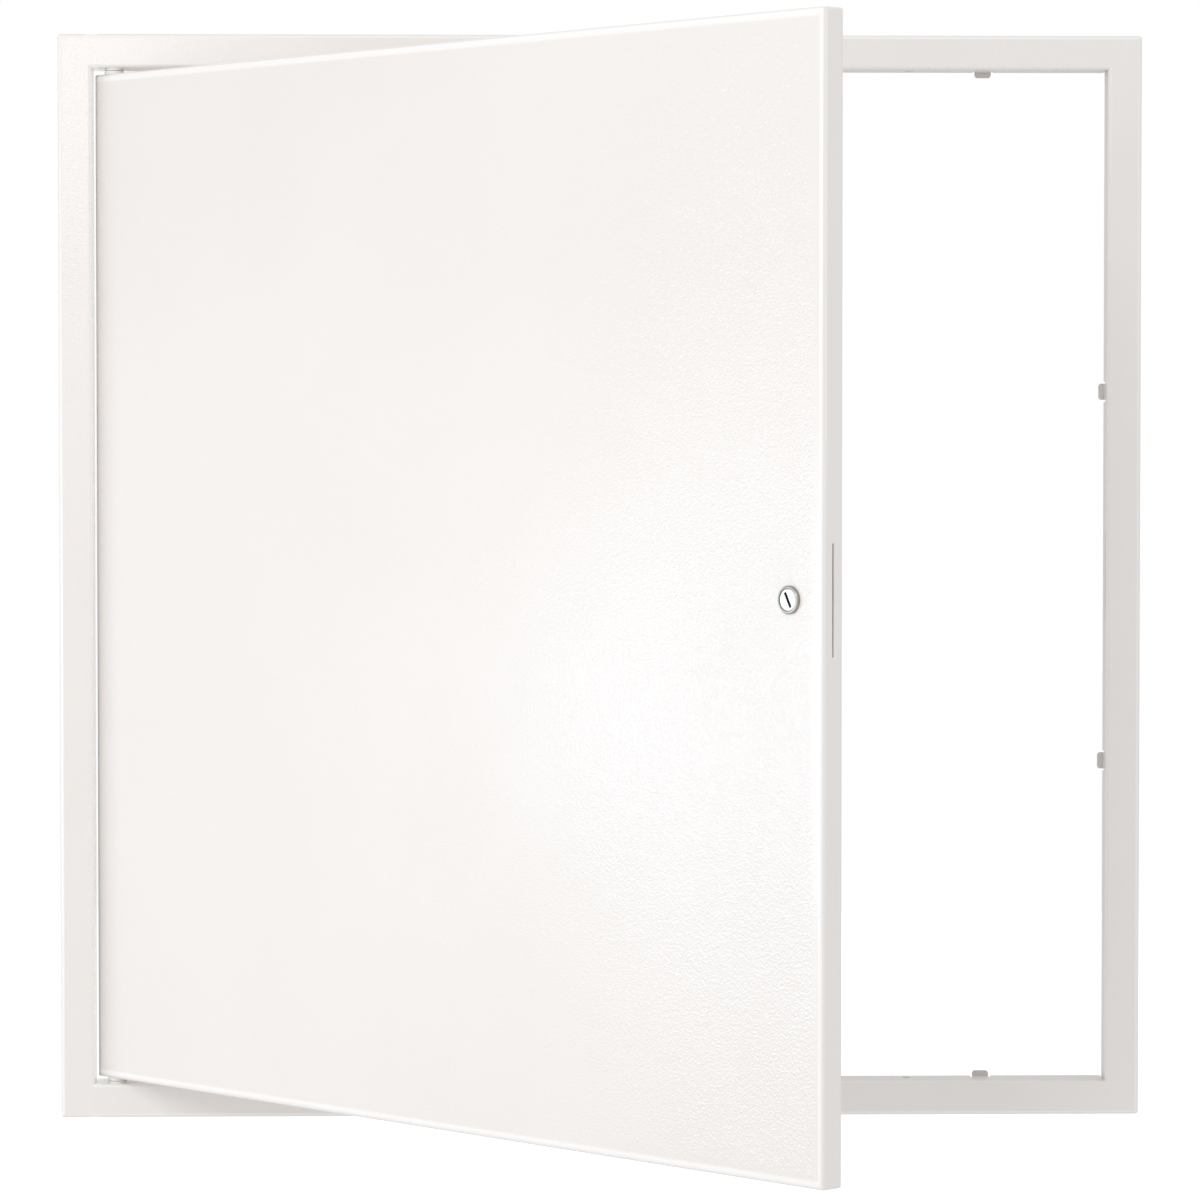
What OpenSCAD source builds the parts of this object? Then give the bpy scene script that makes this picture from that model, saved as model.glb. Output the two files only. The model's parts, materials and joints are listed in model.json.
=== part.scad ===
// Flush ceiling access panel: a welded flange frame, a folded tray door on two pivot pins,
// and a screwdriver cam lock whose blade turns through the door's edge into the frame.
// Front faces -Y, +Z is up, +X runs to the latch side. The origin is the centre of the
// opening, on the plane where the frame's flange rests on the board. Lengths in millimetres.

/* [Opening] */
// Clear width between the frame's side walls
opening_w = 600; // [520:10:900]
// Clear height between the frame's top and bottom walls
opening_h = 600; // [520:10:900]

/* [Frame] */
// Sheet thickness of the frame
frame_sheet = 1.2; // [0.8:0.1:1.5]
// Width of the visible flange
flange_w = 20; // [14:0.5:40]
// How far the flange's face stands off the board
flange_proud = 4; // [3:0.5:6]
// Depth of the top and bottom walls behind the flange's face
end_wall_depth = 26; // [24:1:60]
// Depth of the two side walls behind the flange's face
side_wall_depth = 18; // [18:1:60]
// Outer radius of the bend between flange and wall
frame_bend_r = 2; // [1.6:0.1:2.5]
// Outer radius of the bend between flange and rim lip
rim_bend_r = 2.8; // [1.6:0.1:2.9]
// Radius of the frame's outer corners, seen from the front
rim_corner_r = 2.5; // [1:0.1:3]

/* [Fixing straps and screws] */
// Width of each bend-out strap in the wall
strap_w = 9.7; // [6:0.1:14]
// Reach of a strap's turned-in tip
strap_tip = 3.2; // [2:0.1:5]
// Corner radius of a strap's tip
strap_tip_r = 1.8; // [0.5:0.1:2]
// Width of the slits beside a strap
strap_slit_w = 1.2; // [0.8:0.1:2]
// Length of the slits beside a strap
strap_slit_len = 8; // [6:0.5:9]
// Distance of a strap from the corner, top and bottom walls
end_strap_inset = 72; // [60:1:90]
// Distance of a strap from the corner, latch-side wall
latch_strap_inset = 190; // [150:1:200]
// Diameter of the fixing holes in the top and bottom walls
screw_hole_d = 5; // [3:0.1:6]
// Distance of a fixing hole from the corner
screw_inset = 117; // [100:1:150]
// Depth of a fixing hole behind the flange's face
screw_depth = 18; // [16:0.5:20]

/* [Door] */
// Sheet thickness of the door
door_sheet = 1; // [0.8:0.1:1.2]
// Depth of the door tray
door_depth = 15; // [14:0.5:16]
// Outer radius of the bends round the door's face
door_face_r = 2.5; // [1.6:0.1:3]
// Outer radius of the bends at the door's rear lips
door_rear_r = 2; // [1.5:0.1:2.5]
// Width of the rear lips
door_lip = 11; // [8:0.5:14]
// Gap between door and frame at the hinge side
hinge_gap = 3; // [2.6:0.1:6]
// Gap between door and frame at the latch side
latch_gap = 3.5; // [1.8:0.1:4]
// Gap between door and frame at top and bottom
end_gap = 3.5; // [3.4:0.1:6]
// Leg of the small flat ground on each welded corner of the tray
corner_flat = 1.2; // [1:0.1:2]
// Width of the mitre seams in the rear lips
seam_w = 0.8; // [0.4:0.1:1.5]
// Angle at which the door stands open
open_angle = 47.6; // [0:0.1:110]

/* [Hinge] */
// Distance of the pivot from the door's hinge edge
pivot_setback = 10; // [9:0.1:11]
// Depth of the pivot behind the door's face
pivot_depth = 7.5; // [7:0.1:8]
// Diameter of the pivot pins
pin_d = 5; // [4:0.1:6]
// Diameter of a pin's head
pin_head_d = 10; // [8:0.1:12]
// Thickness of a pin's head
pin_head_t = 1.5; // [1:0.1:2.5]
// Diameter of the thrust washers
washer_d = 11; // [9:0.1:12]
// Thickness of the thrust washers
washer_t = 1.2; // [0.8:0.1:1.5]
// Diameter of a bush's flange
bush_flange_d = 11.2; // [10:0.1:12]
// Diameter of a bush's sleeve
bush_sleeve_d = 8; // [7:0.1:9]
// Thickness of the hinge brackets
bracket_sheet = 2; // [1.5:0.1:3]
// Length of a hinge bracket along the door's edge
bracket_len = 42; // [25:1:80]
// Length of a hinge bracket down the hinge side
bracket_drop = 30; // [15:1:60]

/* [Lock] */
// Distance of the lock's axis from the door's free edge
lock_setback = 23; // [22:0.5:28]
// Diameter of the lock's head
lock_head_d = 14.5; // [14:0.1:18]
// Thickness of the lock's head
lock_head_t = 1.8; // [1.5:0.1:2.2]
// Diameter of the lock's barrel
barrel_d = 12; // [11:0.1:13]
// Width across the barrel's two flats
barrel_flats = 10.6; // [9.6:0.1:10.9]
// Diameter of the plug's slotted face
plug_face_d = 11.6; // [10:0.1:12.4]
// Diameter of the plug's body
plug_d = 8; // [7.5:0.1:8.5]
// Width across the plug's square tail
tail_w = 5; // [4:0.1:5.2]
// Length of the screwdriver slot
driver_slot_len = 8.5; // [6:0.1:9]
// Width of the screwdriver slot
driver_slot_w = 1.7; // [0.8:0.1:2]
// Lean of the screwdriver slot while the lock is open
driver_slot_lean = 28; // [0:1:90]
// Width across the flats of the lock's nut
nut_flats = 16; // [15:0.1:19]
// Thickness of the lock's nut
nut_t = 2.7; // [2:0.1:2.8]
// Thickness of the toothed washer under the nut
tooth_washer_t = 0.6; // [0.4:0.1:0.8]
// Diameter of the toothed washer
tooth_washer_d = 19; // [18:0.1:22]
// Depth of the cam blade's middle behind the door's face
cam_depth = 7.5; // [7:0.1:8]
// Thickness of the cam blade
cam_sheet = 0.8; // [0.7:0.1:1.2]
// Width of the cam blade
cam_w = 14; // [10:0.5:18]
// Reach of the cam blade from the lock's axis
cam_reach = 35.5; // [35:0.5:40]
// Diameter of the cam's screw
cam_screw_d = 3.9; // [3:0.1:4]

/* [Clearances] */
// Radial clearance of a turning fit
run_clear = 0.05; // [0.03:0.01:0.08]
// Gap between pieces that move past each other
move_gap = 0.3; // [0.3:0.05:0.6]
// Gap left by spot welds between door and brackets
weld_gap = 0.05; // [0.02:0.01:0.1]
// Room round the cam blade at the ends of its slots
cam_end_room = 0.9; // [0.6:0.1:2]

/* [Hidden] */
$fn = 48;

// Overshoot of a cut past the face that it opens
over = 1;

coat = [0.95, 0.94, 0.92];
zinc = [0.72, 0.73, 0.74];
nickel = [0.78, 0.75, 0.70];
nylon = [0.93, 0.92, 0.89];

half_w = opening_w / 2;
half_h = opening_h / 2;
front_y = -flange_proud;

door_w = opening_w - hinge_gap - latch_gap;
door_h = opening_h - 2 * end_gap;
door_mid_x = (hinge_gap - latch_gap) / 2;
hinge_edge_x = door_mid_x - door_w / 2;
door_rear_y = front_y + door_depth;
door_top = door_h / 2;
free_edge_x = door_mid_x + door_w / 2;
pivot_x = hinge_edge_x + pivot_setback;
pivot_y = front_y + pivot_depth;

bush_flange_t = end_gap - washer_t - move_gap;
// How far a sleeve or a pin's tip shows past the piece that it goes through
stand_out = 1;
bush_sleeve_len = door_sheet + weld_gap + bracket_sheet + stand_out;
bracket_inset = door_sheet + weld_gap;
pin_tip_z = door_top - bush_sleeve_len - stand_out;
pin_tip_chamfer = pin_d / 8;

// Depths along the lock's axis, measured from the door's face
plug_face_t = lock_head_t / 2;
head_floor = -lock_head_t / 6;
plug_shoulder = head_floor - move_gap;
cam_front = cam_depth - cam_sheet / 2;
cam_rear = cam_depth + cam_sheet / 2;
stop_washer_t = 1;
stop_front = cam_front - stop_washer_t;
barrel_end = stop_front - move_gap;
// The plug's tail ends just short of the cam's rear face, so that the screw clamps the cam
tail_relief = 0.1;
tail_end = cam_rear - tail_relief;
spring_washer_t = 0.8;
spring_washer_d = 8.5;
cam_screw_head_d = 7.5;
cam_screw_head_t = 2.2;
cam_screw_len = 5;
lock_x = free_edge_x - lock_setback;

// Half lengths of the slots that the cam's tip sweeps through
cam_slit_w = cam_sheet + 2 * move_gap;
cam_slit_half = sqrt(cam_reach ^ 2 - (lock_setback - door_sheet) ^ 2) + cam_end_room;
keeper_w = cam_sheet + 4 * move_gap;
keeper_half = sqrt(cam_reach ^ 2 - (lock_setback + latch_gap) ^ 2) + 2 * cam_end_room;

// Waste outside a rounded corner at the origin, for a corner that opens to +X and +Y
module corner_waste(r) {
    difference() {
        translate([-over, -over]) square(r + over);
        translate([r, r]) circle(r);
    }
}

// Slot with round ends along Y, centred
module slot_outline(w, half_len) {
    square([w, 2 * half_len - w], center = true);
    for (s = [-1, 1])
        translate([0, s * (half_len - w / 2)]) circle(w / 2);
}

// Circle with two flats, left and right
module flatted_circle(d, flats) {
    intersection() {
        circle(d = d);
        square([flats, d], center = true);
    }
}

// Bent sheet of a rail: X runs outward from the opening, Y runs back from the face
module rail_section(depth) {
    inner_w = flange_w - 2 * frame_sheet;
    difference() {
        square([flange_w, depth]);
        corner_waste(frame_bend_r);
        translate([flange_w, 0]) mirror([1, 0]) corner_waste(rim_bend_r);
        difference() {
            translate([frame_sheet, frame_sheet]) square([inner_w, depth]);
            translate([frame_sheet, frame_sheet]) corner_waste(frame_bend_r - frame_sheet);
            translate([flange_w - frame_sheet, frame_sheet])
                mirror([1, 0]) corner_waste(rim_bend_r - frame_sheet);
        }
        translate([frame_sheet, flange_proud]) square([flange_w, depth]);
    }
}

// Outline of one mitred rail, seen from the front
module mitre_outline(reach, run) {
    rim_x = run + flange_w;
    rim_z = reach + flange_w;
    difference() {
        polygon([[-run, reach], [run, reach], [rim_x, rim_z], [-rim_x, rim_z]]);
        for (s = [0, 1])
            mirror([s, 0]) translate([rim_x, rim_z]) rotate(180) corner_waste(rim_corner_r);
    }
}

// Turned-in tip of a strap, with round corners, below a wall at height reach
module strap_end(reach, depth) {
    translate([0, front_y + depth, reach]) rotate([90, 0, 0]) linear_extrude(frame_sheet)
        difference() {
            translate([-strap_w / 2, -strap_tip]) square([strap_w, strap_tip + frame_sheet]);
            for (s = [0, 1])
                mirror([s, 0]) translate([-strap_w / 2, -strap_tip]) corner_waste(strap_tip_r);
        }
}

// The two slits that free a strap, and the round of its bend
module strap_cuts(reach, depth) {
    rear_y = front_y + depth;
    for (s = [-1, 1])
        translate([s * (strap_w + strap_slit_w) / 2, rear_y, reach])
            cube([strap_slit_w, 2 * strap_slit_len, 4 * frame_sheet], center = true);
    translate([0, rear_y, reach + frame_sheet]) rotate([0, 90, 0])
        linear_extrude(strap_w + strap_slit_w, center = true)
            mirror([0, 1]) corner_waste(frame_sheet);
}

// One mitred rail as it lies above the opening, with a wall of the given depth
module rail_blank(reach, run, depth) {
    intersection() {
        translate([0, front_y, reach]) rotate([0, -90, 0])
            linear_extrude(2 * (run + flange_w + over), center = true) rail_section(depth);
        translate([0, front_y + depth + over, 0]) rotate([90, 0, 0])
            linear_extrude(depth + 2 * over) mitre_outline(reach, run);
    }
}

// A rail with two straps. The children are cut out of it.
module strapped_rail(reach, run, depth, strap_inset) {
    difference() {
        union() {
            rail_blank(reach, run, depth);
            for (s = [-1, 1])
                translate([s * (run - strap_inset), 0, 0]) strap_end(reach, depth);
        }
        for (s = [-1, 1])
            translate([s * (run - strap_inset), 0, 0]) strap_cuts(reach, depth);
        children();
    }
}

// Fixing holes and pin hole of the top or bottom rail, as it lies above the opening
module end_rail_holes(pin_x) {
    for (s = [-1, 1])
        translate([s * (half_w - screw_inset), front_y + screw_depth, half_h - over])
            cylinder(d = screw_hole_d, h = frame_sheet + 2 * over);
    translate([pin_x, pivot_y, half_h - over])
        cylinder(d = pin_d + 2 * run_clear, h = frame_sheet + 2 * over);
}

module frame_top_rail() {
    color(coat) strapped_rail(half_h, half_w, end_wall_depth, end_strap_inset)
        end_rail_holes(pivot_x);
}

module frame_bottom_rail() {
    color(coat) rotate([0, 180, 0])
        strapped_rail(half_h, half_w, end_wall_depth, end_strap_inset) end_rail_holes(-pivot_x);
}

// The hinge rail's wall stays whole: the door's edge swings close past it
module frame_hinge_rail() {
    color(coat) rotate([0, -90, 0]) rail_blank(half_w, half_h, side_wall_depth);
}

// The latch rail has the keeper slot that the cam blade turns into
module frame_latch_rail() {
    color(coat) rotate([0, 90, 0])
        strapped_rail(half_w, half_h, side_wall_depth, latch_strap_inset)
        translate([0, front_y + cam_depth, half_w - over])
            linear_extrude(frame_sheet + 2 * over) rotate(90) slot_outline(keeper_w, keeper_half);
}

// Pin from above through the top wall, with a low cone head outside and a chamfered tip
module pivot_pin() {
    pin_len = half_h + frame_sheet - pin_tip_z;
    color(zinc) translate([pivot_x, pivot_y, pin_tip_z]) rotate_extrude()
        polygon([
            [0, 0], [pin_d / 2 - pin_tip_chamfer, 0], [pin_d / 2, pin_tip_chamfer],
            [pin_d / 2, pin_len], [pin_head_d / 2, pin_len],
            [pin_head_d / 2 - pin_head_t / 2, pin_len + pin_head_t], [0, pin_len + pin_head_t]
        ]);
}

module hinge_pin_top() {
    pivot_pin();
}

module hinge_pin_bottom() {
    mirror([0, 0, 1]) pivot_pin();
}

// Washer on the pin, against the inner face of the top wall
module thrust_washer() {
    color(nylon) translate([pivot_x, pivot_y, half_h - washer_t]) difference() {
        cylinder(d = washer_d, h = washer_t);
        translate([0, 0, -over]) cylinder(d = pin_d + 2 * run_clear, h = washer_t + 2 * over);
    }
}

module thrust_washer_top() {
    thrust_washer();
}

module thrust_washer_bottom() {
    mirror([0, 0, 1]) thrust_washer();
}

// Swings a closed door piece about the pivot to the angle at which the door stands
module swung() {
    translate([pivot_x, pivot_y, 0]) rotate([0, 0, -open_angle])
        translate([-pivot_x, -pivot_y, 0]) children();
}

// Section across the tray, with the face along X at the origin and the bends rounded
module tray_section(span, inset) {
    depth = door_depth - 2 * inset;
    difference() {
        translate([-span / 2, 0]) square([span, depth]);
        for (s = [0, 1])
            mirror([s, 0]) {
                translate([-span / 2, 0]) corner_waste(door_face_r - inset);
                translate([-span / 2, depth]) mirror([0, 1]) corner_waste(door_rear_r - inset);
            }
    }
}

// Outline of the tray from the front, with a flat on each welded corner
module tray_outline(span_x, span_z, inset) {
    flat_leg = corner_flat - inset * (2 - sqrt(2));
    difference() {
        square([span_x, span_z], center = true);
        for (x = [-1, 1], z = [-1, 1])
            translate([x * span_x / 2, z * span_z / 2]) rotate(45)
                square(flat_leg * sqrt(2), center = true);
    }
}

// The tray's outer form, or the form at a depth inset inside it
module tray_form(inset) {
    span_x = door_w - 2 * inset;
    span_z = door_h - 2 * inset;
    translate([door_mid_x, front_y + inset, 0]) intersection() {
        linear_extrude(span_z, center = true) tray_section(span_x, inset);
        rotate([0, -90, 0]) linear_extrude(span_x, center = true) tray_section(span_z, inset);
        translate([0, -over, 0]) rotate([-90, 0, 0])
            linear_extrude(door_depth + 2 * over) tray_outline(span_x, span_z, inset);
    }
}

// Mitre seam between two rear lips, measured from the middle of the door's rear
module lip_seam() {
    seam_len = (door_lip - door_rear_r - seam_w) * sqrt(2);
    translate([door_w / 2 - door_lip, 0, door_top - door_lip]) rotate([0, 45, 0])
        translate([-seam_w / 2, -door_rear_r, -over]) cube([seam_w, 2 * door_rear_r, seam_len + over]);
}

module door_skin() {
    color(coat) swung() difference() {
        tray_form(0);
        tray_form(door_sheet);
        translate([door_mid_x, door_rear_y, 0]) {
            cube([door_w - 2 * door_lip, door_depth, door_h - 2 * door_lip], center = true);
            for (x = [0, 1], z = [0, 1])
                mirror([x, 0, 0]) mirror([0, 0, z]) lip_seam();
        }
        translate([lock_x, front_y - over, 0]) rotate([-90, 0, 0])
            linear_extrude(door_sheet + 2 * over)
                flatted_circle(barrel_d + 2 * run_clear, barrel_flats + 2 * run_clear);
        translate([free_edge_x - door_sheet - over, front_y + cam_depth, 0]) rotate([90, 0, 90])
            linear_extrude(door_sheet + 2 * over) slot_outline(cam_slit_w, cam_slit_half);
        for (z = [0, 1])
            mirror([0, 0, z]) translate([pivot_x, pivot_y, door_top - door_sheet - over])
                cylinder(d = bush_sleeve_d + 2 * run_clear, h = door_sheet + 2 * over);
    }
}

// Corner bracket inside the tray that backs up the bush's hole
module hinge_bracket() {
    color(coat) swung() difference() {
        intersection() {
            tray_form(bracket_inset);
            union() {
                translate([hinge_edge_x, front_y, door_top - bracket_inset - bracket_sheet])
                    cube([bracket_len, door_depth, bracket_sheet + bracket_inset]);
                translate([hinge_edge_x, front_y, door_top - bracket_drop])
                    cube([bracket_inset + bracket_sheet, door_depth, bracket_drop]);
            }
        }
        translate([pivot_x, pivot_y, door_top - bush_sleeve_len])
            cylinder(d = bush_sleeve_d + 2 * run_clear, h = bush_sleeve_len);
    }
}

module hinge_bracket_top() {
    hinge_bracket();
}

module hinge_bracket_bottom() {
    mirror([0, 0, 1]) hinge_bracket();
}

// Flanged bush: its flange sits on the door's edge, its sleeve goes through the bracket
module hinge_bush() {
    color(nylon) swung() translate([pivot_x, pivot_y, door_top]) difference() {
        union() {
            cylinder(d = bush_flange_d, h = bush_flange_t);
            translate([0, 0, -bush_sleeve_len]) cylinder(d = bush_sleeve_d, h = bush_sleeve_len);
        }
        translate([0, 0, -bush_sleeve_len - over])
            cylinder(d = pin_d + 2 * run_clear, h = bush_sleeve_len + bush_flange_t + 2 * over);
    }
}

module hinge_bush_top() {
    hinge_bush();
}

module hinge_bush_bottom() {
    mirror([0, 0, 1]) hinge_bush();
}

// Lock frame: origin on the door's face, Z into the door, X to the free edge, -Y up
module on_lock_axis() {
    swung() translate([lock_x, front_y, 0]) rotate([-90, 0, 0]) children();
}

// Ring along the lock's axis between two depths
module lock_ring(outer_d, inner_d, front, rear) {
    translate([0, 0, front]) difference() {
        cylinder(d = outer_d, h = rear - front);
        translate([0, 0, -over]) cylinder(d = inner_d, h = rear - front + 2 * over);
    }
}

module lock_housing() {
    head_round = lock_head_t / 2;
    color(nickel) on_lock_axis() difference() {
        union() {
            translate([0, 0, -lock_head_t]) rotate_extrude() difference() {
                square([lock_head_d / 2, lock_head_t]);
                translate([lock_head_d / 2, 0]) mirror([1, 0]) corner_waste(head_round);
            }
            linear_extrude(barrel_end) flatted_circle(barrel_d, barrel_flats);
        }
        translate([0, 0, -lock_head_t - over])
            cylinder(d = plug_face_d + 2 * run_clear, h = lock_head_t + over + head_floor);
        translate([0, 0, -lock_head_t])
            cylinder(d = plug_d + 2 * run_clear, h = lock_head_t + barrel_end + over);
    }
}

module lock_tooth_washer() {
    teeth = 12;
    tooth_gap = 1.6;
    color(zinc) on_lock_axis() difference() {
        lock_ring(tooth_washer_d, barrel_d + 2 * run_clear, door_sheet, door_sheet + tooth_washer_t);
        for (i = [0 : teeth - 1])
            rotate(i * 360 / teeth) translate([tooth_washer_d / 2, 0, door_sheet])
                cube([tooth_gap, tooth_gap, 4 * tooth_washer_t], center = true);
    }
}

module lock_nut() {
    nut_front = door_sheet + tooth_washer_t;
    color(zinc) on_lock_axis() difference() {
        translate([0, 0, nut_front]) cylinder(d = nut_flats / cos(30), h = nut_t, $fn = 6);
        cylinder(d = barrel_d + 2 * run_clear, h = barrel_end);
    }
}

// Plug with a slotted face, a round body in the barrel and a square tail for the cam
module lock_plug() {
    slot_depth = plug_face_t + plug_d / 16;
    tail_len = tail_end - stop_front;
    color(nickel) on_lock_axis() difference() {
        union() {
            translate([0, 0, plug_shoulder - plug_face_t]) cylinder(d = plug_face_d, h = plug_face_t);
            translate([0, 0, plug_shoulder]) cylinder(d = plug_d, h = stop_front - plug_shoulder);
            translate([0, 0, stop_front + tail_len / 2]) cube([tail_w, tail_w, tail_len], center = true);
        }
        translate([0, 0, plug_shoulder - plug_face_t]) rotate(-driver_slot_lean)
            cube([driver_slot_w, driver_slot_len, 2 * slot_depth], center = true);
        translate([0, 0, cam_rear + spring_washer_t - cam_screw_len - over])
            cylinder(d = cam_screw_d + 2 * run_clear, h = cam_screw_len + over);
    }
}

// Square hole on the plug's tail
module tail_hole(front, rear) {
    side = tail_w + 2 * run_clear;
    translate([0, 0, (front + rear) / 2]) cube([side, side, rear - front + 2 * over], center = true);
}

// Disc with a lug that stops the quarter turn
module cam_stop_washer() {
    disc_d = plug_d + barrel_d / 2;
    lug_w = 4;
    lug_reach = 2.5;
    color(zinc) on_lock_axis() difference() {
        translate([0, 0, stop_front]) linear_extrude(stop_washer_t) {
            circle(d = disc_d);
            translate([0, -lug_w / 2]) square([disc_d / 2 + lug_reach, lug_w]);
        }
        tail_hole(stop_front, cam_front);
    }
}

// Flat cam blade, pointing up while the lock is open, with its tip on an arc about the axis
module lock_cam() {
    hub_d = cam_w + 2;
    color(zinc) on_lock_axis() difference() {
        translate([0, 0, cam_front]) linear_extrude(cam_sheet) {
            circle(d = hub_d);
            intersection() {
                translate([-cam_w / 2, -cam_reach]) square([cam_w, cam_reach]);
                circle(cam_reach);
            }
        }
        tail_hole(cam_front, cam_rear);
    }
}

module cam_spring_washer() {
    split_w = 0.8;
    color(zinc) on_lock_axis() difference() {
        lock_ring(spring_washer_d, cam_screw_d + 4 * run_clear, cam_rear, cam_rear + spring_washer_t);
        translate([0, -split_w / 2, cam_rear - over])
            cube([spring_washer_d, split_w, spring_washer_t + 2 * over]);
    }
}

// Pan-head screw in the plug's tail, with a straight driver slot
module cam_screw() {
    seat = cam_rear + spring_washer_t;
    head_round = cam_screw_head_t / 2;
    color(zinc) on_lock_axis() difference() {
        union() {
            translate([0, 0, seat]) rotate_extrude() difference() {
                square([cam_screw_head_d / 2, cam_screw_head_t]);
                translate([cam_screw_head_d / 2, cam_screw_head_t]) rotate(180) corner_waste(head_round);
            }
            translate([0, 0, seat - cam_screw_len]) cylinder(d = cam_screw_d, h = cam_screw_len);
        }
        translate([0, 0, seat + cam_screw_head_t]) rotate(driver_slot_lean)
            cube([cam_screw_head_d + over, driver_slot_w, cam_screw_head_t], center = true);
    }
}

frame_top_rail();
frame_bottom_rail();
frame_hinge_rail();
frame_latch_rail();
hinge_pin_top();
hinge_pin_bottom();
thrust_washer_top();
thrust_washer_bottom();
door_skin();
hinge_bracket_top();
hinge_bracket_bottom();
hinge_bush_top();
hinge_bush_bottom();
lock_housing();
lock_tooth_washer();
lock_nut();
lock_plug();
cam_stop_washer();
lock_cam();
cam_spring_washer();
cam_screw();
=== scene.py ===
# %% [markdown]
# # A flush ceiling access panel
# The panel is a square frame of folded sheet with a tray door that swings on two hidden pins.
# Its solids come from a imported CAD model, which is loaded first and never moved. This script
# gives them their finishes, adds the welds and the thread that are too fine for the solids, and
# lights the whole.

# %% Load the panel
import json
import math

import bpy
import numpy as np
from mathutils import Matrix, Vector


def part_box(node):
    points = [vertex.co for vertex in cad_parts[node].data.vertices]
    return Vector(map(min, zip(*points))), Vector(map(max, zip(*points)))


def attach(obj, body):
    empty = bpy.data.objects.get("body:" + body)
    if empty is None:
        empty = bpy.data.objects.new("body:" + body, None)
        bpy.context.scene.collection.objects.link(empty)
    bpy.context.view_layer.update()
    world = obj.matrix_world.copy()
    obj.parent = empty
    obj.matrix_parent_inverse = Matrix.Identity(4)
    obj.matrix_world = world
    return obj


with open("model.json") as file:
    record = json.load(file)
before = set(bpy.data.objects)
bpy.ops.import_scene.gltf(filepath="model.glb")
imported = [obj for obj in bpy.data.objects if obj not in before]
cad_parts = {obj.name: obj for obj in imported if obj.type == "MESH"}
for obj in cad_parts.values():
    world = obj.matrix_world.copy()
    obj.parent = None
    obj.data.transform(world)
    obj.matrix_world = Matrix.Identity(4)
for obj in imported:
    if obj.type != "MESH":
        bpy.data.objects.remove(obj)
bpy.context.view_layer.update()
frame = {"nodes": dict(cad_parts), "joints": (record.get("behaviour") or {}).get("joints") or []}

# %% [markdown]
# ## Where the panel's own axes lie
# The door stands open, so everything on it is turned about the hinge pins. Shapes and finishes
# are far easier to think of on a shut door, where its edges run along X and Z. The hinge joint
# tells how to go from one to the other: its closed limit is the angle that the door has to swing
# to shut. The turn is a plain rotation about the pins, done on whole arrays of points.

# %% Shut door and standing door
mm_per_m = 1000
joints = {joint["name"]: joint for joint in frame["joints"]}
pivot = np.array(joints["door_hinge"]["pos_m"])
open_angle = math.radians(-joints["door_hinge"]["range_deg"][0])


def turned(points, angle):
    """Rotates points about the hinge pins: x' = x cos a - y sin a, y' = x sin a + y cos a."""
    turn = np.array([[math.cos(angle), -math.sin(angle), 0.0],
                     [math.sin(angle), math.cos(angle), 0.0],
                     [0.0, 0.0, 1.0]])
    return (points - pivot) @ turn.T + pivot


def node_points(node_name):
    """All corner points of a CAD node's mesh, as an array."""
    mesh = frame["nodes"][node_name].data
    flat = np.empty(3 * len(mesh.vertices))
    mesh.vertices.foreach_get("co", flat)
    return flat.reshape(-1, 3)


def shut_box(node_name):
    """Lowest and highest corner of a door piece, measured with the door shut."""
    points = turned(node_points(node_name), open_angle)
    return points.min(axis=0), points.max(axis=0)


door_low, door_high = shut_box("door_skin")
rail_low, rail_high = (np.array(corner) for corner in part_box("frame_top_rail"))
door_size_mm = (mm_per_m * (door_high - door_low)).round(1)
print("door", door_size_mm, "mm, open by", round(math.degrees(open_angle), 1), "degrees")

# %% [markdown]
# ## The lock's axis
# The lock goes straight through the door. Its joint gives a point on its axis and the direction
# into the door. Every place on the lock then comes down to two numbers: how deep it lies along
# the axis, and how far it lies from it.

# %% Depths and radii on the lock
lock_point = np.array(joints["lock_turn"]["pos_m"])
lock_axis = np.array(joints["lock_turn"]["axis"])
lock_axis /= np.linalg.norm(lock_axis)
up = np.array([0.0, 0.0, 1.0])
to_free_edge = np.cross(lock_axis, up)


def lock_depths(node_name):
    """Depth of every point of a node along the lock's axis, from the door's face."""
    return (node_points(node_name) - lock_point) @ lock_axis


def lock_radii(node_name):
    """Distance of every point of a node from the lock's axis."""
    return np.linalg.norm(np.cross(node_points(node_name) - lock_point, lock_axis), axis=1)


nut_rear = lock_depths("lock_nut").max()
barrel_end = lock_depths("lock_housing").max()
plug_front = lock_depths("lock_plug").min()
plug_radius = lock_radii("lock_plug").max()
print("thread shows for", round(mm_per_m * (barrel_end - nut_rear), 2), "mm behind the nut")

# %% [markdown]
# ## Camera
# The photograph was taken with a long lens from a little above the lock. A long lens far away
# keeps the frame's sides nearly parallel, and the slight downward tilt gives the little that
# they converge.

# %% Camera
image_side_px = 1200
focal_px = 4637.0
sensor_mm = 36.0
camera_place = Vector((-0.0636, -2.7456, 0.0759))
camera_aim = Vector((-0.0007, -0.0040, -0.0134))

camera_data = bpy.data.cameras.new("camera")
camera_data.sensor_width = sensor_mm
camera_data.lens = focal_px / image_side_px * sensor_mm
camera = bpy.data.objects.new("camera", camera_data)
camera.location = camera_place
camera.rotation_euler = (camera_aim - camera_place).to_track_quat("-Z", "Y").to_euler()
bpy.context.scene.collection.objects.link(camera)
bpy.context.scene.camera = camera
print("lens", round(camera_data.lens, 1), "mm at", round((camera_aim - camera_place).length, 2), "m")

# %% [markdown]
# ## Shader maths
# A node tree is a drawing of a formula. Writing the formula in Python is easier to read, so one
# small class wraps a socket: arithmetic on it adds Math nodes, and its `node` method adds any
# other kind of node with its settings first and its inputs after.

# %% A socket that does arithmetic
plateau_share = 0.7
first_colour_socket = 6
second_colour_socket = 7
mixed_colour_socket = 2


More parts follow.
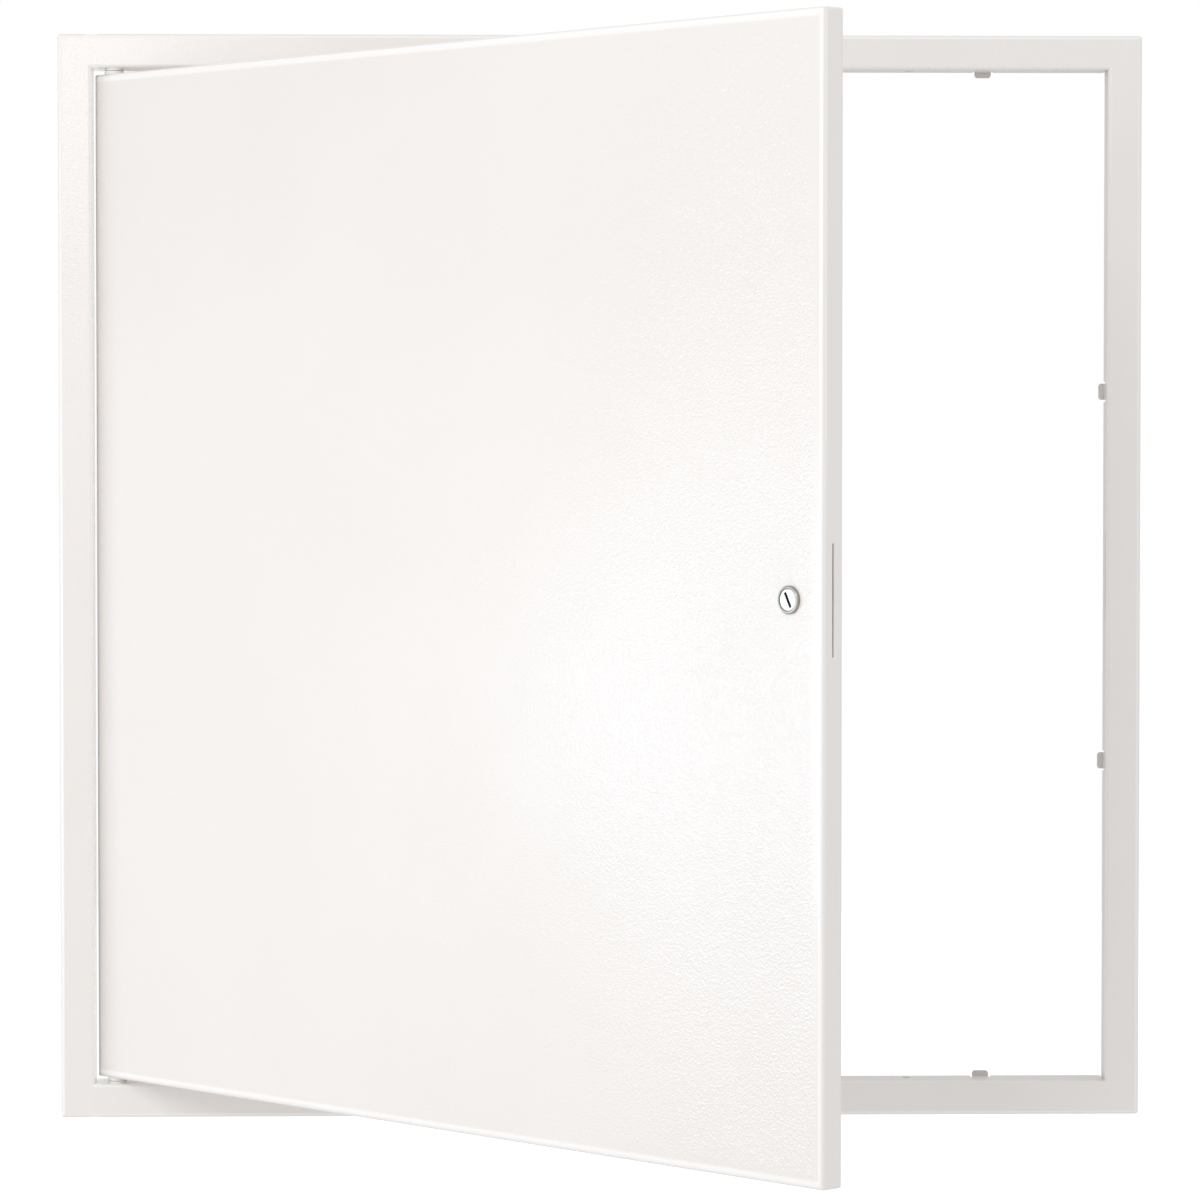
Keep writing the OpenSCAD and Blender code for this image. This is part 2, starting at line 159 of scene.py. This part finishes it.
class Wire:
    """A socket of a node tree that takes part in Python arithmetic."""

    def __init__(self, tree, socket=None):
        self.tree = tree
        self.socket = socket

    def plug(self, socket, value):
        """Links a wire to a socket, or writes a plain value on it."""
        if isinstance(value, Wire):
            self.tree.links.new(value.socket, socket)
        else:
            socket.default_value = value

    def node(self, kind, settings=None, inputs=None, output=0):
        """Adds a node, sets its settings, then its inputs, and returns one output."""
        made = self.tree.nodes.new(kind)
        for name, value in (settings or {}).items():
            setattr(made, name, value)
        for key, value in (inputs or {}).items():
            self.plug(made.inputs[key], value)
        return Wire(self.tree, made.outputs[output])

    def math(self, operation, *values):
        """Adds one Math node on plain values and wires."""
        return self.node("ShaderNodeMath", {"operation": operation}, dict(enumerate(values)))

    def __add__(self, other):
        return self.math("ADD", self, other)

    __radd__ = __add__

    def __sub__(self, other):
        return self.math("SUBTRACT", self, other)

    def __rsub__(self, other):
        return self.math("SUBTRACT", other, self)

    def __mul__(self, other):
        return self.math("MULTIPLY", self, other)

    __rmul__ = __mul__

    def __abs__(self):
        return self.math("ABSOLUTE", self)

    def smaller(self, other):
        """The smaller of two values at every point."""
        return self.math("MINIMUM", self, other)

    def larger(self, other):
        """The larger of two values at every point."""
        return self.math("MAXIMUM", self, other)

    def between(self, low, high):
        """Runs smoothly from 0 at low to 1 at high."""
        settings = {"interpolation_type": "SMOOTHSTEP"}
        inputs = {"Value": self, "From Min": low, "From Max": high, "To Min": 0.0, "To Max": 1.0}
        return self.node("ShaderNodeMapRange", settings, inputs)

    def near(self, reach):
        """1 up to a plateau's share of the reach, then falling smoothly to 0 at the reach."""
        return 1 - self.between(plateau_share * reach, reach)

    def mix_colour(self, first, second):
        """Mixes two colours by this wire. A Mix node tells its colour sockets only by number."""
        settings = {"data_type": "RGBA"}
        inputs = {0: self, first_colour_socket: first, second_colour_socket: second}
        return self.node("ShaderNodeMix", settings, inputs, output=mixed_colour_socket)

    def axes(self):
        """Splits a vector into its X, Y and Z wires."""
        parts = self.tree.nodes.new("ShaderNodeSeparateXYZ")
        self.plug(parts.inputs[0], self)
        return [Wire(self.tree, output) for output in parts.outputs]

    def noise(self, size_m, detail):
        """Soft noise on this vector, with swells of about a size in metres."""
        inputs = {"Vector": self, "Scale": 1 / size_m, "Detail": detail}
        return self.node("ShaderNodeTexNoise", {}, inputs)

    def bump(self, height, distance_m):
        """A normal that is tilted by a height, which stands for a distance in metres."""
        return self.node("ShaderNodeBump", {}, {"Distance": distance_m, "Height": height})


def start_material(name):
    """Makes a material with one Principled shader, and the wire of its Object coordinates."""
    material = bpy.data.materials.new(name)
    material.use_nodes = True
    shader = material.node_tree.nodes["Principled BSDF"]
    place = Wire(material.node_tree).node("ShaderNodeTexCoord", output="Object")
    return material, shader, place


def dress(material, *node_names):
    """Gives CAD nodes one material."""
    for node_name in node_names:
        slots = frame["nodes"][node_name].data.materials
        slots.clear()
        slots.append(material)
    print(material.name, "on", len(node_names), "nodes")

# %% [markdown]
# ## Powder coat
# Frame and door wear one warm white powder coat, sprayed dry and baked until it flows. It never
# flows quite flat: it keeps a fine pebble called orange peel, one to two millimetres from swell
# to swell. The swells are hundredths of a millimetre high, so they belong in the bump. Outer bends
# get a painted highlight, a paler and glossier band, and recesses get painted shade, a grey and
# rougher band. Both could be painted by hand, but distances to the sheet's own faces are exact and
# follow any size: a point on a bend is close to two faces at once.

# %% The coat's colours and its peel
coat_colour = (0.888, 0.852, 0.826, 1.0)
cloud_colour = (0.902, 0.866, 0.841, 1.0)
# painted highlight: the paler colour given to bends
bend_highlight_colour = (0.975, 0.964, 0.952, 1.0)
# painted shade: the grey given to recesses and the hinge edge
shade_colour = (0.45, 0.427, 0.4145, 1.0)
peel_swell_m = 0.0012
peel_detail = 1.5
peel_height_m = 0.00011
heavy_peel = 2.3
cloud_size_m = 0.11
cloud_detail = 2.0
cloud_low = 0.3
cloud_high = 0.7
bend_depth_m = 0.0008
coat_roughness = 0.21
cloud_roughness = 0.03
bend_gloss = 0.10
heavy_gloss = 0.07
shade_zone_roughness = 0.40
# share of the painted shade grey in the recesses
recess_shade = 0.452


def powder_coat(name, turn, shift, coat_masks):
    """Warm white film: noise raises the peel, a wide cloud varies it, bends get a painted highlight,
    recesses painted shade.
    """
    material, shader, place = start_material(name)
    place = place.node("ShaderNodeMapping", {}, {
        "Vector": place, "Rotation": (0.0, 0.0, turn), "Location": tuple(shift)})
    cloud = place.noise(cloud_size_m, cloud_detail).between(cloud_low, cloud_high)
    bend_highlight, painted_shade, heavy = coat_masks(place)
    tone = cloud.mix_colour(coat_colour, cloud_colour)
    # painted highlight on bends, then painted shade in recesses and on the hinge edge
    tone = painted_shade.mix_colour(bend_highlight.mix_colour(tone, bend_highlight_colour), shade_colour)
    roughness = coat_roughness + cloud * cloud_roughness + painted_shade * shade_zone_roughness
    place.plug(shader.inputs["Base Color"], tone)
    place.plug(shader.inputs["Roughness"], roughness - bend_highlight * bend_gloss - heavy * heavy_gloss)
    peel = place.noise(peel_swell_m, peel_detail) * (1 + heavy_peel * heavy)
    place.plug(shader.inputs["Normal"], place.bump(peel, peel_height_m))
    return material

# %% [markdown]
# ## Coat on the frame
# The painted highlight on the frame lies near the plane of the flange's face and near the rim. The
# frame is square about the origin, so the larger of |x| and |z| tells how far out a point lies,
# whichever rail it is on. The painted shade lies on the wall behind the flange, where only depth
# counts. The hinge wall gets no painted shade: it carries a painted highlight as pale as a bend's.

# %% Coat on the frame
flange_face = rail_low[1]
rim_reach = rail_high[2]
hinge_rail_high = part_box("frame_hinge_rail")[1]
# width and weight of the painted highlight along the rim
rim_highlight_m = 0.0026
rim_highlight_weight = 0.9
recess_start_m = 0.0012
recess_full_m = 0.0035
spared_near_m = 0.004
spared_far_m = 0.020
# width of the painted highlight on the hinge wall
hinge_highlight_m = 0.004
hinge_turn_m = 0.0002


def frame_masks(place):
    """Painted highlight: near face and rim, and on the hinge wall. Painted shade: behind the face
    elsewhere. None heavy.
    """
    x, y, z = place.axes()
    outward = abs(x).larger(abs(z))
    behind = y - flange_face
    # painted highlight along the rim and on the hinge wall
    rim_highlight = (rim_reach - outward).near(rim_highlight_m) * behind.near(bend_depth_m) * rim_highlight_weight
    hinge_wall_highlight = abs(x - hinge_rail_high[0]).near(hinge_highlight_m)
    bend_highlight = rim_highlight.larger(hinge_wall_highlight * behind.between(hinge_turn_m, 2 * hinge_turn_m))
    off_hinge = (x - hinge_rail_high[0]).between(spared_near_m, spared_far_m)
    # painted shade on the walls behind the flange, away from the hinge wall
    recess = behind.between(recess_start_m, recess_full_m) * off_hinge
    return bend_highlight, recess * recess_shade, 0.0


frame_coat = powder_coat("frame_powder_coat", 0.0, (0.0, 0.0, 0.0), frame_masks)
dress(frame_coat, "frame_top_rail", "frame_bottom_rail", "frame_hinge_rail", "frame_latch_rail")

# %% [markdown]
# ## Coat on the door
# The door's pattern is worked out as if the door were shut: a Mapping node swings every point back
# about the pins, so that the edges run along X and Z again. A painted highlight lies near one of the
# three open edges and near the front face. Where the bend ends, on the upper half of the door, a
# second painted highlight, a line a hair's breadth wide, runs along the return. Painted shade greys
# the inside corners of the tray and the hinge edge. The painted highlight reaches further in along
# the top and the bottom than along the free edge. The spray began at the free edge, where the film
# is heavier and glossier and its peel stands higher.

# %% Coat on the door
shut_shift = turned(np.zeros(3), open_angle)
door_sheet_m = 0.001
inside_start_m = 0.5 * door_sheet_m
inside_full_m = 0.9 * door_sheet_m
# widths of the painted highlight along the free edge, and along the top and bottom
edge_highlight_m = 0.0034
end_highlight_m = 0.0052
# place and reach of the painted highlight line on the return
highlight_line_m = 0.0024
highlight_line_reach_m = 0.0006
highlight_line_low_m = 0.03
highlight_line_high_m = 0.10
# reach, depth and weight of the painted shade along the hinge edge
hinge_shade_start_m = 0.0005
hinge_shade_end_m = 0.005
hinge_shade_depth_m = 0.003
hinge_shade_weight = 0.85
heavy_start_m = 0.08
heavy_full_m = 0.25
heavy_margin_m = 0.010
tray_corner_m = 0.022


def door_masks(place):
    """Painted highlight: near an open edge and the face, or on the line along the return. Painted
    shade: tray corner, hinge edge.
    """
    x, y, z = place.axes()
    to_hinge = x - door_low[0]
    to_free = door_high[0] - x
    to_end = door_high[2] - abs(z)
    to_open_edge = to_free.smaller(to_end)
    to_edge = to_hinge.smaller(to_open_edge)
    behind = y - door_low[1]
    # painted highlight: a line on the return, and bands along the open edges
    highlight_line = abs(behind - highlight_line_m).near(highlight_line_reach_m) * z.between(highlight_line_low_m, highlight_line_high_m)
    edge_highlight = to_free.near(edge_highlight_m).larger(to_end.near(end_highlight_m))
    bend_highlight = edge_highlight * behind.near(bend_depth_m).larger(highlight_line)
    within = to_edge.smaller(behind).between(inside_start_m, inside_full_m)
    # painted shade: along the hinge edge and in the tray's inside corners
    hinge_shade = 1 - to_hinge.between(hinge_shade_start_m, hinge_shade_end_m)
    recess = (within * to_edge.near(tray_corner_m)).larger(hinge_shade) * recess_shade
    painted_shade = recess.larger(hinge_shade * behind.near(hinge_shade_depth_m) * hinge_shade_weight)
    heavy = x.between(heavy_start_m, heavy_full_m) * to_open_edge.between(edge_highlight_m, heavy_margin_m)
    return bend_highlight, painted_shade, heavy


door_coat = powder_coat("door_powder_coat", open_angle, shut_shift, door_masks)
dress(door_coat, "door_skin", "hinge_bracket_top", "hinge_bracket_bottom")

# %% [markdown]
# ## Nickel on the lock
# The lock's head and plug are turned on a lathe and plated in satin nickel. The tool leaves rings
# about the axis, a tenth of a millimetre apart. Their radius is the length of the point's offset
# crossed with the axis, and noise along that single number gives rings of uneven depth. The floor
# of the driver slot and the gap round the plug are darkened, partly as dust and grease and partly
# as painted shade.

# %% Nickel on the lock
nickel_colour = (0.348, 0.328, 0.294, 1.0)
# dark colour for dirt and painted shade in the slot and round the plug
grime_and_shade_colour = (0.115, 0.102, 0.086, 1.0)
ring_pitch_m = 0.00012
ring_detail = 1.0
ring_height_m = 0.0000015
smear_size_m = 0.0014
smear_detail = 3.0
slot_reach_m = 0.0046
slot_wall_m = 0.0003
slot_floor_m = 3 * slot_wall_m
gap_reach_m = 0.00045
gap_grime_and_shade = 0.55
nickel_roughness = 0.24
smear_roughness = 0.10
grime_roughness = 0.40


def nickel_plate(name):
    """Warm nickel: rings by radius about the lock's axis, grime and painted shade in the slot and
    round the plug.
    """
    material, shader, place = start_material(name)
    offset = place.node("ShaderNodeVectorMath", {"operation": "SUBTRACT"}, {
        0: place, 1: tuple(lock_point)})
    depth = place.node("ShaderNodeVectorMath", {"operation": "DOT_PRODUCT"}, {
        0: offset, 1: tuple(lock_axis)}, output="Value")
    across = place.node("ShaderNodeVectorMath", {"operation": "CROSS_PRODUCT"}, {
        0: offset, 1: tuple(lock_axis)})
    radius = place.node("ShaderNodeVectorMath", {"operation": "LENGTH"}, {0: across}, output="Value")
    rings = place.node("ShaderNodeTexNoise", {"noise_dimensions": "1D"}, {
        "W": radius, "Scale": 1 / ring_pitch_m, "Detail": ring_detail})
    sunk = (depth - plug_front).between(slot_wall_m, slot_floor_m)
    in_slot = sunk * (1 - radius.between(slot_reach_m, slot_reach_m + slot_wall_m))
    # dirt and painted shade on the slot floor and in the gap round the plug
    grime_and_shade = in_slot.larger(abs(radius - plug_radius).near(gap_reach_m) * gap_grime_and_shade)
    roughness = nickel_roughness + place.noise(smear_size_m, smear_detail) * smear_roughness
    place.plug(shader.inputs["Base Color"], grime_and_shade.mix_colour(nickel_colour, grime_and_shade_colour))
    shader.inputs["Metallic"].default_value = 1.0
    place.plug(shader.inputs["Roughness"], roughness + grime_and_shade * grime_roughness)
    place.plug(shader.inputs["Normal"], place.bump(rings, ring_height_m))
    return material


nickel = nickel_plate("turned_nickel")
dress(nickel, "lock_housing", "lock_plug")

# %% [markdown]
# ## Zinc and nylon
# Pins, nut and cam are plain steel with bright zinc, which dries in cloudy patches and keeps the
# long scratches of the drum that it was plated in. The bushes and their washers are natural
# nylon, milky and slightly grained from the mould.

# %% Zinc and nylon
zinc_dark = (0.46, 0.475, 0.49, 1.0)
zinc_bright = (0.66, 0.665, 0.67, 1.0)
zinc_patch_m = 0.0026
patch_tone = 0.6
scratch_long_m = 0.0033
scratch_wide_m = 0.0004
scratch_detail = 2.0
scratch_low = 0.35
scratch_high = 0.65
scratch_tone = 0.4
scratch_depth_m = 0.000004
zinc_roughness = 0.3
patch_roughness = 0.14
nylon_dark = (0.85, 0.84, 0.815, 1.0)
nylon_pale = (0.91, 0.90, 0.88, 1.0)
grain_size_m = 0.00045
grain_detail = 2.0
grain_height_m = 0.00001
nylon_roughness = 0.42
grain_roughness = 0.12
milk_weight = 0.15
milk_depth_m = (0.0012, 0.0010, 0.0008)


def zinc_plate(name):
    """Zinc: patches of cells and stretched scratches vary the tone and the gloss."""
    material, shader, place = start_material(name)
    cells = place.node("ShaderNodeTexVoronoi", {}, {
        "Vector": place, "Scale": 1 / zinc_patch_m}, output="Color")
    patch = place.node("ShaderNodeRGBToBW", {}, {0: cells})
    stretched = place.node("ShaderNodeMapping", {}, {
        "Vector": place, "Scale": (scratch_wide_m / scratch_long_m, 1.0, 1.0)})
    scratch = stretched.noise(scratch_wide_m, scratch_detail)
    tone = patch * patch_tone + scratch.between(scratch_low, scratch_high) * scratch_tone
    place.plug(shader.inputs["Base Color"], tone.mix_colour(zinc_dark, zinc_bright))
    shader.inputs["Metallic"].default_value = 1.0
    place.plug(shader.inputs["Roughness"], zinc_roughness + patch * patch_roughness)
    place.plug(shader.inputs["Normal"], place.bump(scratch, scratch_depth_m))
    return material


def nylon_moulding(name):
    """Natural nylon: a milky white with a fine moulded grain."""
    material, shader, place = start_material(name)
    grain = place.noise(grain_size_m, grain_detail)
    place.plug(shader.inputs["Base Color"], grain.mix_colour(nylon_dark, nylon_pale))
    place.plug(shader.inputs["Roughness"], nylon_roughness + grain * grain_roughness)
    place.plug(shader.inputs["Normal"], place.bump(grain, grain_height_m))
    shader.inputs["Subsurface Weight"].default_value = milk_weight
    shader.inputs["Subsurface Radius"].default_value = milk_depth_m
    return material


zinc = zinc_plate("bright_zinc")
nylon = nylon_moulding("natural_nylon")
dress(zinc, "hinge_pin_top", "hinge_pin_bottom", "lock_tooth_washer", "lock_nut",
      "cam_stop_washer", "lock_cam", "cam_spring_washer", "cam_screw")
dress(nylon, "thrust_washer_top", "thrust_washer_bottom", "hinge_bush_top", "hinge_bush_bottom")

# %% [markdown]
# ## Skinning a stack of rings
# The welds and the thread are all one kind of surface: a closed ring of points that is carried
# along a path. A grid with one row per ring holds them, each cell of the grid becomes a
# four-sided face, and a pole closes each end. The sign of the enclosed volume tells whether the
# faces look outwards, so the skin can turn itself the right way round.

# %% Skin of a stack of rings
def parameter_grid(along_count, around_count):
    """Two parameters as grids: a share from 0 to 1 along, and an angle of a full turn around."""
    along = np.linspace(0, 1, along_count)
    around = np.linspace(0, 2 * math.pi, around_count, endpoint=False)
    return np.meshgrid(along, around, indexing="ij")


def skin(name, rings, body, material):
    """Makes a closed piece from rings, an array of shape (rings, points around, 3)."""
    count, around = rings.shape[:2]
    index = np.arange(count * around).reshape(count, around)
    ahead = np.roll(index, -1, axis=1)
    points = np.concatenate([rings.reshape(-1, 3), rings[[0, -1]].mean(axis=1)])
    pole_start = np.full(around, count * around)
    pole_end = pole_start + 1
    quads = np.stack([index[:-1], ahead[:-1], ahead[1:], index[1:]], axis=-1).reshape(-1, 4)
    caps = np.concatenate([np.stack([ahead[0], index[0], pole_start], axis=-1),
                           np.stack([index[-1], ahead[-1], pole_end], axis=-1)])
    triangles = np.concatenate([quads[:, [0, 1, 2]], quads[:, [0, 2, 3]], caps])
    first, second, third = (points[triangles[:, k]] - points.mean(axis=0) for k in range(3))
    volume = np.einsum("ij,ij->", first, np.cross(second, third)) / 6
    if volume < 0:
        quads, caps = quads[:, ::-1], caps[:, ::-1]
    mesh = bpy.data.meshes.new(name)
    mesh.from_pydata(points.tolist(), [], quads.tolist() + caps.tolist())
    mesh.polygons.foreach_set("use_smooth", np.ones(len(mesh.polygons), dtype=bool))
    mesh.materials.append(material)
    piece = bpy.data.objects.new(name, mesh)
    bpy.context.scene.collection.objects.link(piece)
    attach(piece, body)
    print(name, len(mesh.polygons), "faces,", round(abs(volume) * mm_per_m ** 3, 1), "mm3")

# %% [markdown]
# ## Corner welds
# The frame's four rails are mitred and welded. On the face the seams are ground flush, but behind
# the flange, where nobody looks, the bead stays as it was laid: a fat rib along the outer edge of
# each wall corner, with the scallops of one melted drop after another. A bead is a circle carried
# along the corner, as far as the shallower of its two walls. Its radius is rounded off at both
# ends, and dips between the drops.

# %% Corner welds
bead_radius_m = 0.0014
drop_pitch_m = 0.0016
scallop_dip = 0.14
end_sharpness = 12
end_rounding = 0.9995
bead_ring_count = 97
bead_around_count = 24
frame_sheet_m = 0.0012
wall_outer = -hinge_rail_high[0] + frame_sheet_m
bead_rear = min(rail_high[1], hinge_rail_high[1])


def bead_rings(start, end):
    """Circles along a straight path: full in the middle, round at the ends, dipped per drop."""
    along, angle = parameter_grid(bead_ring_count, bead_around_count)
    drops = np.linalg.norm(end - start) / drop_pitch_m
    round_end = np.sqrt(1 - end_rounding * np.abs(2 * along - 1) ** end_sharpness)
    scallop = 1 - scallop_dip + scallop_dip * np.abs(np.sin(math.pi * drops * along))
    size = bead_radius_m * round_end * scallop
    spoke = np.stack([np.cos(angle), np.zeros_like(angle), np.sin(angle)], axis=-1)
    return start + along[..., None] * (end - start) + size[..., None] * spoke


for side_name, side in (("hinge", -1), ("latch", 1)):
    for level_name, level in (("top", 1), ("bottom", -1)):
        corner = np.array([side * wall_outer, 0.0, level * wall_outer])
        bead_start = corner + [0.0, flange_face + 2 * frame_sheet_m, 0.0]
        bead_end = corner + [0.0, bead_rear, 0.0]
        skin(f"corner_weld_{level_name}_{side_name}", bead_rings(bead_start, bead_end),
             "frame", frame_coat)

# %% [markdown]
# ## Spot welds
# Each hinge bracket is held in the tray by spot welds. The electrode presses a shallow round dish
# into the sheet and squeezes a soft ring up around it. A dish is a profile of radius and height,
# spun about the line through its middle: the ring is a bell curve of the radius, and the underside
# lies a little inside the bracket, so that the dish grows out of it.

# %% Spot welds on the hinge brackets
dish_radius_m = 0.0026
ring_rise_m = 0.00022
ring_place = 0.7
ring_spread = 0.22
dish_sink_m = 0.0004
dish_edge_power = 8
dish_centre_share = 0.04
under_count = 12
over_count = 28
dish_around_count = 32
bracket_sheet_m = 0.002
leg_spots = (0.52, 0.82)
drop_spots = (0.55, 0.85)


def dish_rings(middle, outward, across):
    """Spins a dish: flat below, and above it a bell curve of the radius that dies at the edge."""
    share = np.concatenate([np.linspace(dish_centre_share, 1, under_count),
                            np.linspace(1, dish_centre_share, over_count)])
    under = np.arange(len(share)) < under_count
    bell = np.exp(-((share - ring_place) / ring_spread) ** 2) * (1 - share ** dish_edge_power)
    height = np.where(under, -dish_sink_m, ring_rise_m * bell)
    angle = np.linspace(0, 2 * math.pi, dish_around_count, endpoint=False)
    spoke = np.cos(angle)[:, None] * across + np.sin(angle)[:, None] * np.cross(outward, across)
    return middle + dish_radius_m * share[:, None, None] * spoke + height[:, None, None] * outward


def spot_weld(name, middle, outward, across):
    """Makes one dish on the shut door and swings it to where the door stands."""
    rings = dish_rings(middle, np.array(outward, dtype=float), np.array(across, dtype=float))
    skin(name, turned(rings, -open_angle), "door", door_coat)


for level_name, level in (("top", 1), ("bottom", -1)):
    low, high = shut_box(f"hinge_bracket_{level_name}")
    middle_y = (low[1] + high[1]) / 2
    outer_z = high[2] if level > 0 else low[2]
    drop_len = level * (high[2] - low[2])
    for number, share in enumerate(leg_spots, start=1):
        leg_middle = (low[0] + share * (high[0] - low[0]), middle_y, outer_z - level * bracket_sheet_m)
        spot_weld(f"spot_weld_leg_{level_name}_{number}", leg_middle, (0, 0, -level), (1, 0, 0))
    for number, share in enumerate(drop_spots, start=1):
        drop_middle = (low[0] + bracket_sheet_m, middle_y, outer_z - share * drop_len)
        spot_weld(f"spot_weld_drop_{level_name}_{number}", drop_middle, (1, 0, 0), (0, 0, 1))

# %% [markdown]
# ## Thread on the lock's barrel
# Behind the nut the last turns of the barrel's thread stay in view. A thread is a small rounded
# ridge carried along a helix. The barrel has two flats that keep it from turning in the door, and
# they cut the thread as well: the radius is never larger than the distance to the flat.

# %% Thread on the barrel
thread_pitch_m = 0.0006
thread_rise_m = 0.00022
thread_half_m = 0.42 * thread_pitch_m
thread_fade = 14
thread_least = 0.05
thread_flat_dip = 0.2
thread_ring_count = 240
thread_around_count = 12
end_slice_m = 0.1 * thread_pitch_m
least_cosine = 1e-6
at_end = lock_depths("lock_housing") > barrel_end - end_slice_m
barrel_radius = lock_radii("lock_housing")[at_end].max()
flat_reach = np.abs((node_points("lock_housing")[at_end] - lock_point) @ to_free_edge).max()


def thread_rings(start_depth, end_depth):
    """Ellipses along a helix: depth grows with the angle, and the flats limit the radius."""
    along, angle = parameter_grid(thread_ring_count, thread_around_count)
    swing = 2 * math.pi * (end_depth - start_depth) / thread_pitch_m * along
    fade = np.clip(np.minimum(along, 1 - along) * thread_fade, thread_least, 1)
    ridge = barrel_radius + fade * thread_rise_m * np.cos(angle)
    flat_limit = flat_reach / np.maximum(np.abs(np.cos(swing)), least_cosine)
    radius = np.minimum(ridge, flat_limit - thread_flat_dip * thread_rise_m * (1 - np.cos(angle)))
    depth = start_depth + along * (end_depth - start_depth) + fade * thread_half_m * np.sin(angle)
    spoke = np.cos(swing)[..., None] * to_free_edge + np.sin(swing)[..., None] * up
    return lock_point + radius[..., None] * spoke + depth[..., None] * lock_axis


skin("barrel_thread", thread_rings(nut_rear + thread_pitch_m / 2, barrel_end - thread_pitch_m / 2),
     "door", nickel)

# %% [markdown]
# ## Floor and world
# A white panel in a white studio. The world looks white to the camera and to reflections, and
# lights the panel at a lower level, so that the lamps can model it. The floor gets a small lift
# for the same rays, just enough to be white where the light reaches it, so a shadow still shows.

# %% Floor and world
floor_z = -1.0
floor_half = 8.0
floor_colour = (0.82, 0.82, 0.82, 1.0)
floor_roughness = 0.95
floor_lift = (0.45, 0.45, 0.45, 1.0)
world_light = (0.77, 0.77, 0.77, 1.0)
black = (0.0, 0.0, 0.0, 1.0)
white = (1.0, 1.0, 1.0, 1.0)
bpy.context.scene.view_settings.view_transform = "Standard"


def seen_rays(tree):
    """1 for rays from the camera, off a glossy surface or through glass, 0 for the light itself."""
    path = tree.nodes.new("ShaderNodeLightPath")
    camera_ray, glossy_ray, glass_ray = (Wire(tree, path.outputs[name]) for name in (
        "Is Camera Ray", "Is Glossy Ray", "Is Transmission Ray"))
    return camera_ray.larger(glossy_ray).larger(glass_ray)


floor_mesh = bpy.data.meshes.new("floor")
floor_corners = floor_half * np.array([[-1, -1], [1, -1], [1, 1], [-1, 1]], dtype=float)
floor_points = np.column_stack([floor_corners, np.full(len(floor_corners), floor_z)])
floor_mesh.from_pydata(floor_points.tolist(), [], [(0, 1, 2, 3)])
floor = bpy.data.objects.new("floor", floor_mesh)
bpy.context.scene.collection.objects.link(floor)
floor_material, floor_shader, floor_place = start_material("pale_floor")
floor_shader.inputs["Base Color"].default_value = floor_colour
floor_shader.inputs["Roughness"].default_value = floor_roughness
floor_shader.inputs["Emission Strength"].default_value = 1.0
floor_glow = seen_rays(floor_place.tree).mix_colour(black, floor_lift)
floor_place.plug(floor_shader.inputs["Emission Color"], floor_glow)
floor_mesh.materials.append(floor_material)

world = bpy.data.worlds.new("studio")
world.use_nodes = True
bpy.context.scene.world = world
sky_colour = seen_rays(world.node_tree).mix_colour(world_light, white)
sky_colour.plug(world.node_tree.nodes["Background"].inputs["Color"], sky_colour)
print("floor", -floor_z, "m below the opening's middle, world at", world_light[0])

# %% [markdown]
# ## Lamps
# Three lamps shape the panel. A large soft one stands to the left, lights the open door and shows in
# it as a wide, faint glow. A small cool one beside it adds a reflection and nothing else: the bright
# spot by the lock, where the peel shows best. A broad one in front on the left, above the panel,
# lights the frame, and falls off towards the lower right.

# %% Lamps
def lamp(name, place, aim, size, watts, colour=(1.0, 1.0, 1.0)):
    """A soft rectangular lamp at a place, turned to an aim."""
    data = bpy.data.lights.new(name, "AREA")
    data.shape = "RECTANGLE"
    data.size, data.size_y = size
    data.energy = watts
    data.color = colour
    lit_lamp = bpy.data.objects.new(name, data)
    lit_lamp.location = place
    lit_lamp.rotation_euler = (Vector(aim) - Vector(place)).to_track_quat("-Z", "Y").to_euler()
    bpy.context.scene.collection.objects.link(lit_lamp)
    print("lamp", name, watts, "W")
    return lit_lamp


door_aim = (0.0, -0.3, -0.05)
cool_white = (0.75, 1.0, 1.25)
lamp("side_lamp", place=(-1.19, -0.36, -0.14), aim=door_aim, size=(1.10, 0.70), watts=1.62)
glare_lamp = lamp("glare_lamp", place=(-1.19, -0.505, -0.13), aim=door_aim, size=(0.50, 0.22),
                  watts=2.1, colour=cool_white)
glare_lamp.visible_diffuse = False
lamp("key_lamp", place=(-0.61, -1.82, 0.70), aim=(-0.1, 0.0, 0.0), size=(0.6, 0.8), watts=7.7)
